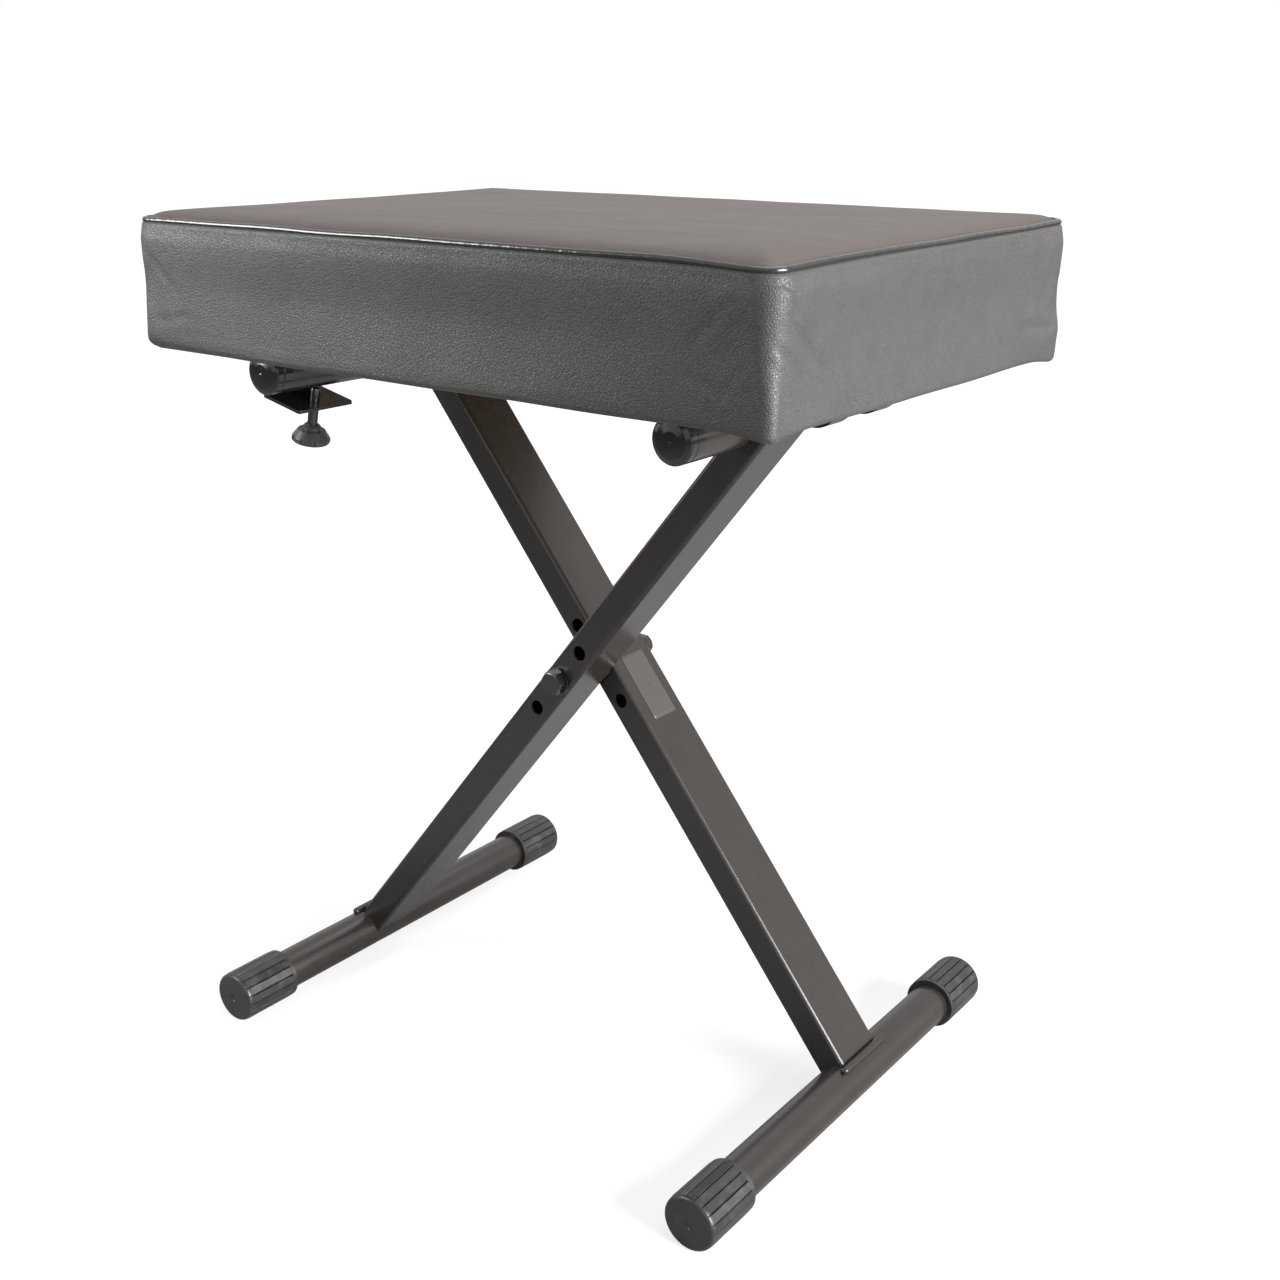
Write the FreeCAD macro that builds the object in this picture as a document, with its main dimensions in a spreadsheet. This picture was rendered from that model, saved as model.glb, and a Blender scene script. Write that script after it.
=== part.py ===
import FreeCAD, Part
import math
import operator
import os
import Sketcher

# Folding keyboard bench. X runs along the seat, Y across it, Z up, and the
# origin lies on the floor under the middle of the bench. Two leg frames cross
# on one pivot bolt. The front frame stands nearer to -Y: it goes from the foot
# at -X up to the tube that the seat hinges on at +X. The rear frame mirrors
# it, and its upper tube lies in a screw clamp under the seat at -X.

V = FreeCAD.Vector
X_AXIS = V(1, 0, 0)
Y_AXIS = V(0, 1, 0)
Z_AXIS = V(0, 0, 1)

# Driving dimensions, in millimetres and degrees
DIMENSIONS = [
    ("foot_distance", "180"),          # from the middle to each foot tube
    ("pivot_height", "241.4"),         # pivot bolt above the floor
    ("tube_radius", "12.7"),           # every round tube, 25.4 mm across
    ("tube_wall", "1.5"),
    ("foot_length", "308"),            # over the rubber caps
    ("cap_radius", "16"),              # middle of a cap to one of its flat ribs
    ("cap_length", "40"),
    ("cap_end_wall", "4"),
    ("cap_rib_count", "18"),
    ("cap_groove_depth", "0.8"),
    ("cap_lip_length", "2.5"),
    ("cap_edge_round", "2.5"),
    ("fit_clearance", "0.05"),         # between pieces that are fixed together
    ("moving_clearance", "0.3"),       # between pieces that move past each other
    ("leg_width", "38"),               # along Y
    ("leg_depth", "19"),
    ("leg_wall", "1.5"),
    ("leg_corner", "2.5"),
    ("leg_gap", "1.4"),                # between the two legs
    ("hole_radius", "4.5"),            # pivot and height holes
    ("hole_pitch", "26.5"),
    ("foot_bead", "2.4"),              # radius of the weld beads
    ("upper_bead", "1.8"),
    ("bead_past", "2.5"),              # beads past the leg's sides, before their round ends
    ("front_tube_along", "205.9"),     # pivot to hinge tube, along the leg
    ("front_tube_offset", "10.85"),    # hinge tube off the leg's centre line
    ("front_leg_end", "12"),           # leg past the hinge tube's middle
    ("rear_tube_along", "228"),        # pivot to rest tube, along the leg
    ("upper_length", "193.6"),         # upper tubes without their plugs
    ("upper_shift", "16"),             # upper tubes off the middle, in Y
    ("plug_insert", "12"),
    ("plug_band", "5.4"),
    ("plug_rim", "11.2"),              # tube end to the dome's edge
    ("plug_dome", "1.8"),
    ("plug_groove", "0.6"),
    ("bolt_radius", "4"),
    ("bolt_head_across", "13"),
    ("bolt_head_height", "5.5"),
    ("washer_radius", "8.4"),
    ("washer_thickness", "1.6"),
    ("spacer_radius", "9"),
    ("nut_height", "7"),
    ("bolt_past_nut", "1"),
    ("seat_overhang", "28.5"),         # seat past the end of the clamp's upper flange
    ("seat_width", "299"),
    ("seat_rise", "72.6"),             # cover's underside to the top of the piping
    ("seat_crown", "5.2"),             # top panel above the piping
    ("seat_corner", "14"),             # plan radius at the piping
    ("seat_low_corner", "5"),          # plan radius at the cover's underside
    ("seat_draw_in", "1.6"),           # how far the long sides bow inwards
    ("cover_thickness", "1.2"),
    ("cover_margin", "20"),            # cover turned in under the board
    ("cover_opening_corner", "10"),
    ("piping_radius", "1.6"),
    ("board_thickness", "12"),
    ("board_inset", "4.4"),
    ("foam_clearance", "0.3"),
    ("staple_pitch", "32"),
    ("staple_width", "10"),
    ("staple_wire", "0.9"),
    ("staple_depth", "6"),
    ("strap_thickness", "2"),
    ("strap_width", "18"),
    ("strap_flange", "21"),
    ("near_strap", "52"),              # straps and rest block along Y
    ("far_strap", "104"),
    ("rest_block", "-56"),
    ("block_ear", "6"),
    ("block_grip", "3"),               # blocks end this far above the tube's middle
    ("screw_radius", "2.5"),
    ("screw_head_radius", "4.5"),
    ("screw_head_height", "2.6"),
    ("screw_offset", "25.5"),          # screws from the hinge tube's middle
    ("tee_radius", "8.5"),
    ("tee_barrel_radius", "3.3"),
    ("tee_thickness", "1.2"),
    ("tee_length", "9"),
    ("clamp_position", "-83"),         # clamp along Y
    ("clamp_width", "42"),
    ("clamp_thickness", "2"),
    ("clamp_tilt", "12.5"),            # lower flange slopes down towards its mouth
    ("clamp_throat", "22.2"),          # rest tube's middle to the flange
    ("clamp_lip", "10.6"),             # flange past the clamp screw
    ("clamp_web_gap", "10"),           # web to the rest tube's side
    ("clamp_foot", "18"),              # upper flange
    ("clamp_corner", "2"),             # plan radius of the plate's corners
    ("clamp_screw_radius", "3"),
    ("clamp_tip_gap", "0.5"),
    ("clamp_nut_radius", "4.4"),       # round weld nut under the lower flange
    ("clamp_nut_height", "3"),
    ("knob_distance", "37.3"),         # rest tube's middle to the knob's hub
    ("knob_hub_radius", "5.2"),
    ("knob_hub_height", "3.2"),
    ("knob_top_radius", "8.2"),
    ("knob_radius", "11.4"),
    ("knob_height", "7.6"),
    ("knob_rim_height", "3"),
    ("knob_notch_count", "10"),
    ("knob_notch_radius", "1.8"),
]

doc = FreeCAD.newDocument("keyboard_bench")
sheet = doc.addObject("Spreadsheet::Sheet", "Sizes")
for row, (alias, text) in enumerate(DIMENSIONS, 1):
    sheet.set(f"A{row}", alias)
    sheet.set(f"B{row}", text)
    sheet.setAlias(f"B{row}", alias)
doc.recompute()


class Size:
    """A number together with the sheet formula that gives it."""

    def __init__(self, formula, number):
        self.formula = formula
        self.number = number

    def __add__(self, other):
        return combine(self, other, "+", operator.add)

    def __radd__(self, other):
        return combine(other, self, "+", operator.add)

    def __sub__(self, other):
        return combine(self, other, "-", operator.sub)

    def __rsub__(self, other):
        return combine(other, self, "-", operator.sub)

    def __mul__(self, other):
        return combine(self, other, "*", operator.mul)

    def __rmul__(self, other):
        return combine(other, self, "*", operator.mul)

    def __truediv__(self, other):
        return combine(self, other, "/", operator.truediv)

    def __rtruediv__(self, other):
        return combine(other, self, "/", operator.truediv)

    def __neg__(self):
        return combine(-1, self, "*", operator.mul)


def as_size(thing):
    if isinstance(thing, Size):
        return thing
    return Size(f"({float(thing)})", float(thing))


def combine(left, right, sign, function):
    left, right = as_size(left), as_size(right)
    formula = f"({left.formula} {sign} {right.formula})"
    return Size(formula, function(left.number, right.number))


def size(alias):
    return Size(f"Sizes.{alias}", float(sheet.get(alias)))


def sine(angle):
    return Size(f"sin({angle.formula})", math.sin(math.radians(angle.number)))


def cosine(angle):
    return Size(f"cos({angle.formula})", math.cos(math.radians(angle.number)))


def arctangent(ratio):
    return Size(f"atan({ratio.formula})", math.degrees(math.atan(ratio.number)))


def root(thing):
    return Size(f"sqrt({thing.formula})", math.sqrt(thing.number))


# Places that follow from the driving dimensions
clearance = size("fit_clearance")
running = size("moving_clearance")
tube_radius = size("tube_radius")
pivot_height = size("pivot_height")
foot_height = size("cap_radius")
leg_rise = pivot_height - foot_height
lean = arctangent(leg_rise / size("foot_distance"))
foot_reach = root(leg_rise * leg_rise + size("foot_distance") * size("foot_distance"))
leg_middle = (size("leg_width") + size("leg_gap")) / 2
leg_face = size("leg_width") + size("leg_gap") / 2

hinge_x = size("front_tube_along") * cosine(lean) - size("front_tube_offset") * sine(lean)
hinge_z = (pivot_height + size("front_tube_along") * sine(lean)
           + size("front_tube_offset") * cosine(lean))
rest_x = -(size("rear_tube_along") * cosine(lean))
rest_z = pivot_height + size("rear_tube_along") * sine(lean)

underside = rest_z + tube_radius + running
board_top = underside + size("board_thickness")
cover_bottom = underside - size("cover_thickness")
piping_top = cover_bottom + size("seat_rise")
piping_z = piping_top - size("piping_radius")

PIECES = []


def bind(thing, name, value):
    thing.setExpression(name, as_size(value).formula)


def place(thing, at=(0, 0, 0), axis=Z_AXIS, turn=0):
    """Puts a thing at a point, turned by an angle about an axis."""
    point = [as_size(value) for value in at]
    angle = as_size(turn)
    thing.Placement = FreeCAD.Placement(V(*[value.number for value in point]),
                                        FreeCAD.Rotation(axis, angle.number))
    for letter, value in zip("xyz", point):
        bind(thing, f"Placement.Base.{letter}", value)
    if isinstance(turn, Size):
        bind(thing, "Placement.Rotation.Angle", angle)
    return thing


def keep(thing, name):
    """Marks a thing as a finished piece of the bench."""
    thing.Label = name
    PIECES.append(thing)
    return thing


def add(kind, name):
    return doc.addObject(kind, name)


def cylinder(name, radius, length, at=(0, 0, 0), axis=X_AXIS, turn=-90):
    """A cylinder that runs towards +Y unless it is turned another way."""
    thing = add("Part::Cylinder", name)
    bind(thing, "Radius", radius)
    bind(thing, "Height", length)
    return place(thing, at, axis, turn)


def block(name, length, width, height, at=(0, 0, 0)):
    thing = add("Part::Box", name)
    bind(thing, "Length", length)
    bind(thing, "Width", width)
    bind(thing, "Height", height)
    return place(thing, at)


def prism(name, across_flats, height, sides, at=(0, 0, 0), axis=X_AXIS, turn=-90):
    thing = add("Part::Prism", name)
    thing.Polygon = sides
    bind(thing, "Circumradius", across_flats / 2 / math.cos(math.pi / sides))
    bind(thing, "Height", height)
    return place(thing, at, axis, turn)


def cut(name, base, *tools):
    if len(tools) > 1:
        joined = add("Part::MultiFuse", name + "_cutters")
        joined.Shapes = list(tools)
    else:
        joined = tools[0]
    thing = add("Part::Cut", name)
    thing.Base = base
    thing.Tool = joined
    return thing


def fuse(name, *things):
    joined = add("Part::MultiFuse", name)
    joined.Shapes = list(things)
    return joined


def common(name, base, tool):
    thing = add("Part::Common", name)
    thing.Base = base
    thing.Tool = tool
    return thing


def body(name):
    thing = add("PartDesign::Body", name)
    thing.Label = name
    return thing


def sketch(owner, name, plane, height=None):
    """A sketch on one of the body's own planes, or that far along its normal."""
    thing = owner.newObject("Sketcher::SketchObject", name)
    role = [item for item in owner.Origin.OriginFeatures if item.Role == plane][0]
    thing.AttachmentSupport = [(role, "")]
    thing.MapMode = "FlatFace"
    if height is not None:
        bind(thing, "AttachmentOffset.Base.z", height)
    return thing


def fix_point(drawing, item, end, across, up):
    """Holds a sketch point at its two sizes."""
    for kind, value in (("DistanceX", across), ("DistanceY", up)):
        value = as_size(value)
        rule = Sketcher.Constraint(kind, -1, 1, item, end, value.number)
        number = drawing.addConstraint(rule)
        name = f"{kind}_{item}_{end}"
        drawing.renameConstraint(number, name)
        bind(drawing, f"Constraints.{name}", value)


def fix_radius(drawing, item, radius):
    radius = as_size(radius)
    number = drawing.addConstraint(Sketcher.Constraint("Radius", item, radius.number))
    name = f"Radius_{item}"
    drawing.renameConstraint(number, name)
    bind(drawing, f"Constraints.{name}", radius)


def draw(drawing, corners):
    """A closed outline. A corner is (across, up), or (across, up, radius) where two
    edges along the sketch's axes meet and are rounded."""
    count = len(corners)
    spots = [tuple(as_size(value) for value in corner) for corner in corners]
    steps = []
    for index, spot in enumerate(spots):
        if len(spot) == 2:
            steps.append(("point", spot, None, None))
            continue
        before, after = spots[index - 1], spots[(index + 1) % count]
        start = shift(spot, before)
        end = shift(spot, after)
        centre = (start[0] + end[0] - spot[0], start[1] + end[1] - spot[1])
        steps.append(("arc", start, end, (centre, spot[2])))
    first = drawing.GeometryCount
    ends = []
    for index, step in enumerate(steps):
        leave = step[1] if step[0] == "point" else step[2]
        arrive = steps[(index + 1) % count][1]
        if step[0] == "arc":
            ends.append(add_arc(drawing, step[1], step[2], *step[3]))
        number = drawing.addGeometry(Part.LineSegment(flat(leave), flat(arrive)))
        ends.append((number, 1, 2, leave, None))
    for (item, _, finish, _, _), (following, begin, _, _, _) in zip(ends, ends[1:] + ends[:1]):
        drawing.addConstraint(Sketcher.Constraint("Coincident", item, finish, following, begin))
    for item, begin, _, point, radius in ends:
        fix_point(drawing, item, begin, *point)
        if radius is not None:
            fix_radius(drawing, item, radius)
    return first


def shift(spot, other):
    """The point one radius away from a corner, towards a neighbour on an axis."""
    run = other[0].number - spot[0].number
    climb = other[1].number - spot[1].number
    if abs(run) > abs(climb):
        return (spot[0] + math.copysign(1, run) * spot[2], spot[1])
    return (spot[0], spot[1] + math.copysign(1, climb) * spot[2])


def flat(point):
    return V(point[0].number, point[1].number, 0)


def add_arc(drawing, start, end, centre, radius):
    """A quarter arc from start to end, which a sketch always stores anticlockwise."""
    middle = flat(centre)
    one, two = flat(start) - middle, flat(end) - middle
    first = math.atan2(one.y, one.x)
    last = math.atan2(two.y, two.x)
    circle = Part.Circle(middle, Z_AXIS, radius.number)
    if math.sin(last - first) > 0:
        number = drawing.addGeometry(Part.ArcOfCircle(circle, first, last))
        return (number, 1, 2, start, radius)
    number = drawing.addGeometry(Part.ArcOfCircle(circle, last, first))
    return (number, 2, 1, start, radius)


def ring(drawing, across, up, radius):
    across, up, radius = as_size(across), as_size(up), as_size(radius)
    circle = Part.Circle(V(across.number, up.number, 0), Z_AXIS, radius.number)
    number = drawing.addGeometry(circle)
    fix_point(drawing, number, 3, across, up)
    fix_radius(drawing, number, radius)


def pad(owner, name, drawing, length, both_sides=False, upside=False):
    thing = owner.newObject("PartDesign::Pad", name)
    thing.Profile = drawing
    bind(thing, "Length", length)
    if both_sides:
        thing.SideType = "Symmetric"
    thing.Reversed = upside
    return thing


def pocket_through(owner, name, drawing):
    thing = owner.newObject("PartDesign::Pocket", name)
    thing.Profile = drawing
    thing.Type = "ThroughAll"
    thing.SideType = "Symmetric"
    return thing


def pocket(owner, name, drawing, depth, upside=False):
    """A pocket cuts against its sketch's normal, or along it if it is upside."""
    thing = owner.newObject("PartDesign::Pocket", name)
    thing.Profile = drawing
    bind(thing, "Length", depth)
    thing.Reversed = upside
    return thing


def turned(name, corners, at=(0, 0, 0), axis=X_AXIS, turn=-90):
    """A body turned about its own Z axis from an outline of (radius, height)."""
    owner = body(name)
    outline = sketch(owner, name + "_outline", "XZ_Plane")
    draw(outline, corners)
    thing = owner.newObject("PartDesign::Revolution", name + "_turned")
    thing.Profile = outline
    thing.ReferenceAxis = (outline, ["V_Axis"])
    thing.Angle = 360
    return place(owner, at, axis, turn)


def polar_pattern(owner, name, original, count):
    thing = owner.newObject("PartDesign::PolarPattern", name)
    thing.Originals = [original]
    axis = [item for item in owner.Origin.OriginFeatures if item.Role == "Z_Axis"][0]
    thing.Axis = (axis, [""])
    thing.Angle = 360
    bind(thing, "Occurrences", count)
    owner.Tip = thing
    return thing


def leg(name, side):
    """A rectangular tube, cut round its foot tube and upper tube, with three holes.
    Its own X runs along the leg from the pivot, and its Z across the leg."""
    along, offset, past = upper_place(side)
    start = -foot_reach if side > 0 else -along
    owner = body(name)
    section = sketch(owner, name + "_section", "YZ_Plane", start)
    half_width, half_depth = size("leg_width") / 2, size("leg_depth") / 2
    wall, corner = size("leg_wall"), size("leg_corner")
    for inner, radius in ((0, corner), (wall, corner - wall)):
        w, d = half_width - inner, half_depth - inner
        draw(section, [(-w, -d, radius), (w, -d, radius), (w, d, radius), (-w, d, radius)])
    pad(owner, name + "_tube", section, foot_reach + along + past)
    holes = sketch(owner, name + "_cuts", "XZ_Plane")
    ring(holes, -side * foot_reach, 0, tube_radius + clearance)
    ring(holes, side * along, offset, tube_radius + clearance)
    for step in (-1, 0, 1):
        ring(holes, step * size("hole_pitch"), 0, size("hole_radius"))
    pocket_through(owner, name + "_holes", holes)
    keep(place_on_leg(owner, side), name)


def upper_place(side):
    """Where a leg's upper tube sits: along the leg, off its centre line, and how
    far the leg goes past it."""
    if side > 0:
        return size("front_tube_along"), size("front_tube_offset"), size("front_leg_end")
    return size("rear_tube_along"), as_size(0), as_size(0)


def place_on_leg(thing, side):
    """Puts a thing made along the X axis onto the front or the rear leg."""
    return place(thing, (0, -side * leg_middle, pivot_height), Y_AXIS, -side * lean)


def weld_bead(name, side, along, offset, bead, towards):
    """A bead with round ends, along the corner between a leg's upper side and a round
    tube, cut clear of both. The leg runs from the tube towards +X or -X."""
    half_width, half_depth = size("leg_width") / 2, size("leg_depth") / 2
    height = half_depth + bead * 0.85
    reach = tube_radius + bead * 0.45
    run = root(reach * reach - (height - offset) * (height - offset))
    middle = along + towards * run
    half = half_width + size("bead_past")
    rod = cylinder(name + "_rod", bead, half * 2, (middle, -half, height))
    ends = []
    for end in (-1, 1):
        ball = add("Part::Sphere", f"{name}_end_{end + 1}")
        bind(ball, "Radius", bead)
        ends.append(place(ball, (middle, end * half, height)))
    leg_space = block(name + "_leg_space", reach * 4, (half_width + clearance) * 2,
                      (half_depth + clearance) * 2,
                      (along - reach * 2, -half_width - clearance, -half_depth - clearance))
    tube_space = cylinder(name + "_tube_space", tube_radius + clearance, half_width * 4,
                          (along, -half_width * 2, offset))
    thing = cut(name, fuse(name + "_blank", rod, *ends), leg_space, tube_space)
    keep(place_on_leg(thing, side), name)


def round_tube(name, x, y, z, length):
    """A round tube along Y, centred on y."""
    start = y - length / 2
    outer = cylinder(name + "_outside", tube_radius, length, (x, start, z))
    inner = cylinder(name + "_bore", tube_radius - size("tube_wall"), length + 2,
                     (x, start - 1, z))
    keep(cut(name, outer, inner), name)


def foot_cap(name, x, side):
    """A ribbed rubber cap. Its own Z starts at the closed end and goes inwards."""
    crest = foot_height / math.cos(math.pi / float(sheet.get("cap_rib_count")))
    length, lip = size("cap_length"), size("cap_lip_length")
    edge = size("cap_edge_round")
    band = foot_height - clearance * 2
    bore = tube_radius + clearance
    outline = [(0, 0.5), (2, 0.5), (2.5, 0), (band, 0, edge), (band, edge * 1.6),
               (crest, edge * 1.6 + 0.4), (crest, length - lip), (band, length - lip),
               (band, length), (bore, length), (bore, size("cap_end_wall")),
               (0, size("cap_end_wall"))]
    turn = -90 if side < 0 else 90
    owner = turned(name, outline, (x, side * size("foot_length") / 2, foot_height),
                   X_AXIS, turn)
    rib = sketch(owner, name + "_rib_space", "XY_Plane")
    half = 180 / size("cap_rib_count")
    land = half * 0.8
    flat_half = foot_height * sine(land) / cosine(land)
    bottom = foot_height - size("cap_groove_depth")
    outer = foot_height + 2
    next_up = foot_height * cosine(half * 2) + flat_half * sine(half * 2)
    next_across = foot_height * sine(half * 2) - flat_half * cosine(half * 2)
    draw(rib, [(flat_half, foot_height), (-flat_half, foot_height),
               (-bottom * sine(half), bottom * cosine(half)), (-next_across, next_up),
               (-outer * sine(half * 1.2), outer * cosine(half * 1.2)),
               (outer * sine(land), outer * cosine(land))])
    first = pocket(owner, name + "_groove", rib, length - lip, upside=True)
    polar_pattern(owner, name + "_ribs", first, size("cap_rib_count"))
    keep(owner, name)


def end_plug(name, x, z, end, side):
    """A domed plug in the end of an upper tube. Its own Z points out of the tube."""
    insert = tube_radius - size("tube_wall") - clearance
    band, rim, dome = size("plug_band"), size("plug_rim"), size("plug_dome")
    waist = tube_radius - size("plug_groove")
    groove = size("plug_groove")
    outline = [(0, -size("plug_insert")), (insert, -size("plug_insert")), (insert, 0),
               (tube_radius, 0), (tube_radius, band), (waist, band + groove),
               (tube_radius, band + groove * 2), (tube_radius, rim - 1),
               (tube_radius - 1, rim), (tube_radius * 0.72, rim + dome * 0.55),
               (tube_radius * 0.4, rim + dome * 0.88), (0, rim + dome)]
    keep(turned(name, outline, (x, end, z), X_AXIS, -90 * side), name)


def frame(front):
    """One leg frame: leg, foot tube with caps, upper tube with plugs, and welds."""
    side, prefix = (1, "front") if front else (-1, "rear")
    along, offset, _ = upper_place(side)
    foot_x = -side * size("foot_distance")
    leg(prefix + "_leg", side)
    foot_tube = size("foot_length") - size("cap_end_wall") * 2 - clearance * 2
    round_tube(prefix + "_foot_tube", foot_x, as_size(0), foot_height, foot_tube)
    weld_bead(prefix + "_foot_weld", side, -side * foot_reach, as_size(0), size("foot_bead"),
              side)
    foot_cap(prefix + "_foot_cap_left", foot_x, -1)
    foot_cap(prefix + "_foot_cap_right", foot_x, 1)
    upper_x, upper_z = (hinge_x, hinge_z) if front else (rest_x, rest_z)
    name = "hinge" if front else "rest"
    middle = side * size("upper_shift")
    half = size("upper_length") / 2
    round_tube(name + "_tube", upper_x, middle, upper_z, size("upper_length"))
    weld_bead(name + "_tube_weld", side, side * along, offset, size("upper_bead"), -side)
    end_plug(name + "_tube_plug_left", upper_x, upper_z, middle - half, -1)
    end_plug(name + "_tube_plug_right", upper_x, upper_z, middle + half, 1)


def washer(name, radius, thickness, start):
    outer = cylinder(name + "_disc", radius, thickness, (0, start, pivot_height))
    inner = cylinder(name + "_hole", size("bolt_radius") + clearance, thickness + 2,
                     (0, start - 1, pivot_height))
    keep(cut(name, outer, inner), name)


def chamfered_hexagon(name, across, height, start, outward):
    """A hexagon whose outer corners are turned off by a cone at 30 degrees."""
    place_at = (0, start, pivot_height)
    blank = prism(name + "_hexagon", across, height, 6, place_at)
    cone = add("Part::Cone", name + "_cone")
    narrow = across / 2 * 0.96
    wide = narrow + height * math.sqrt(3)
    bind(cone, "Radius1", narrow if outward < 0 else wide)
    bind(cone, "Radius2", wide if outward < 0 else narrow)
    bind(cone, "Height", height)
    place(cone, place_at, X_AXIS, -90)
    return common(name, blank, cone)


def pivot_fasteners():
    """Bolt, washers, spacer and lock nut, from -Y to +Y."""
    washer_thickness = size("washer_thickness")
    head_start = -leg_face - washer_thickness - size("bolt_head_height")
    rear_washer = leg_face + running
    nut_start = rear_washer + washer_thickness
    nut_height = size("nut_height")
    shank_length = nut_start + nut_height + size("bolt_past_nut") - head_start
    head = chamfered_hexagon("pivot_bolt_head", size("bolt_head_across"),
                             size("bolt_head_height"), head_start, -1)
    shank = cylinder("pivot_bolt_shank", size("bolt_radius"), shank_length,
                     (0, head_start, pivot_height))
    keep(fuse("pivot_bolt", head, shank), "pivot_bolt")
    washer("pivot_washer_front", size("washer_radius"), washer_thickness,
           -leg_face - washer_thickness)
    washer("pivot_washer_rear", size("washer_radius"), washer_thickness, rear_washer)
    spacer_thickness = size("leg_gap") - clearance - running
    washer("pivot_spacer", size("spacer_radius"), spacer_thickness,
           -size("leg_gap") / 2 + clearance)
    hexagon = chamfered_hexagon("lock_nut_hexagon", size("bolt_head_across"),
                                nut_height * 0.8, nut_start, 1)
    collar = cylinder("lock_nut_collar", size("bolt_head_across") * 0.43, nut_height,
                      (0, nut_start, pivot_height))
    bore = cylinder("lock_nut_bore", size("bolt_radius") + clearance, nut_height + 2,
                    (0, nut_start - 1, pivot_height))
    keep(cut("pivot_lock_nut", fuse("lock_nut_blank", hexagon, collar), bore),
         "pivot_lock_nut")


def seat_ring(inset, height, corner, draw_in=0):
    """A closed plan outline at a height: four long sides, bowed inwards if
    draw_in says so, and four corner arcs."""
    half_x = seat_end().number - inset
    half_y = float(sheet.get("seat_width")) / 2 - inset
    r = max(corner, 2)
    bevel = r * (1 - math.sqrt(0.5))
    edges = []
    for turn in range(4):
        across, up = (half_x, half_y) if turn % 2 == 0 else (half_y, half_x)
        points = [V(-across + r, -up, 0), V(0, -up + draw_in, 0), V(across - r, -up, 0),
                  V(across - bevel, -up + bevel, 0), V(across, -up + r, 0)]
        points = [rotated(point, turn) + V(0, 0, height) for point in points]
        if draw_in:
            edges.append(Part.Arc(*points[:3]).toShape())
        else:
            edges.append(Part.makeLine(points[0], points[2]))
        edges.append(Part.Arc(*points[2:]).toShape())
    return Part.Wire(edges)


def rotated(point, quarters):
    """A plan point turned by quarter turns about the middle."""
    for _ in range(quarters):
        point = V(-point.y, point.x, point.z)
    return point


def cushion_side(gap, low, high):
    """The boxed side of the cushion, a gap inside the cover's outer surface: it
    flares at the bottom, draws in, and swells again under the piping."""
    rise = piping_z.number - cover_bottom.number
    low_corner = float(sheet.get("seat_low_corner"))
    high_corner = float(sheet.get("seat_corner"))
    draw_in = float(sheet.get("seat_draw_in"))
    shares = [(0.00, 2.0, 0.3), (0.08, 1.0, 0.6), (0.45, 1.2, 1.0), (0.85, 0.0, 0.6),
              (1.00, 0.3, 0.3)]
    wires = []
    for share, inset, draw_share in shares:
        height = cover_bottom.number + share * rise
        if share == 0:
            height = low
        if share == 1:
            height = high
        corner = low_corner + (high_corner - low_corner) * share
        wires.append(seat_ring(inset + gap, height, corner - gap, draw_in * draw_share))
    return Part.makeLoft(wires, True, False)


def cushion_crown(gap, base):
    """The crowned top, a gap under the top panel's outer surface."""
    crown = float(sheet.get("seat_crown"))
    corner = float(sheet.get("seat_corner"))
    edge = float(sheet.get("piping_radius")) * 2
    top = piping_top.number + crown - gap
    drop = piping_top.number + crown - piping_z.number
    wires = [seat_ring(edge + gap, base, corner - edge - gap)]
    for inset, fallen in ((8, 0.66), (24, 0.38), (52, 0.15), (84, 0.03), (112, 0.0)):
        wires.append(seat_ring(edge + inset + gap, top - fallen * drop,
                               corner - edge - gap))
    return Part.makeLoft(wires, True, False)


def shaped(name, shape):
    thing = add("Part::Feature", name)
    thing.Shape = shape
    keep(thing, name)


def cushion():
    """Foam, side band, top panel and piping."""
    thickness = float(sheet.get("cover_thickness"))
    margin = float(sheet.get("cover_margin"))
    soft_gap = thickness + float(sheet.get("foam_clearance"))
    radius = float(sheet.get("piping_radius"))
    low, high = cover_bottom.number, piping_z.number - radius - 0.3
    outside = cushion_side(0, low, high)
    hollow = cushion_side(thickness, underside.number, high + 1)
    opening_ring = seat_ring(margin, low - 1, float(sheet.get("cover_opening_corner")))
    opening = Part.Face(opening_ring).extrude(V(0, 0, thickness + 2))
    shaped("cover_side_band", outside.cut(hollow).cut(opening))
    panel_base = piping_z.number - radius * 0.4
    sides = cushion_side(soft_gap, underside.number, high)
    above_board = seat_ring(0, board_top.number + float(sheet.get("foam_clearance")), radius)
    slab = Part.Face(above_board).extrude(V(0, 0, float(sheet.get("seat_rise"))))
    crown = cushion_crown(soft_gap + 0.5, panel_base - thickness - 1)
    shaped("seat_foam", sides.common(slab).fuse(crown).removeSplitter())
    panel = cushion_crown(0, panel_base)
    under = cushion_crown(thickness, panel_base - thickness - 1)
    shaped("cover_top_panel", panel.cut(under))
    path = seat_ring(radius * 0.9, piping_z.number, float(sheet.get("seat_corner")) - radius * 0.9)
    start = path.Vertexes[0].Point
    section = Part.Wire(Part.Circle(start, X_AXIS, radius).toShape())
    shaped("cover_piping", path.makePipeShell([section], True, False))


def fastening_points():
    """Board screws: two for each hinge block and two for the clamp."""
    points = []
    for place_y in ("near_strap", "far_strap", "rest_block"):
        for sign in (-1, 1):
            points.append((hinge_x + sign * size("screw_offset"), size(place_y)))
    for sign in (-1, 1):
        points.append((clamp_foot_x() + size("clamp_foot") / 2,
                       size("clamp_position") + sign * size("clamp_width") / 4))
    return points


def clamp_web_x():
    """The outer face of the clamp's web, beside the rest tube."""
    return rest_x - tube_radius - size("clamp_web_gap") - size("clamp_thickness")


def clamp_foot_x():
    return clamp_web_x() - size("clamp_foot")


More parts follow.
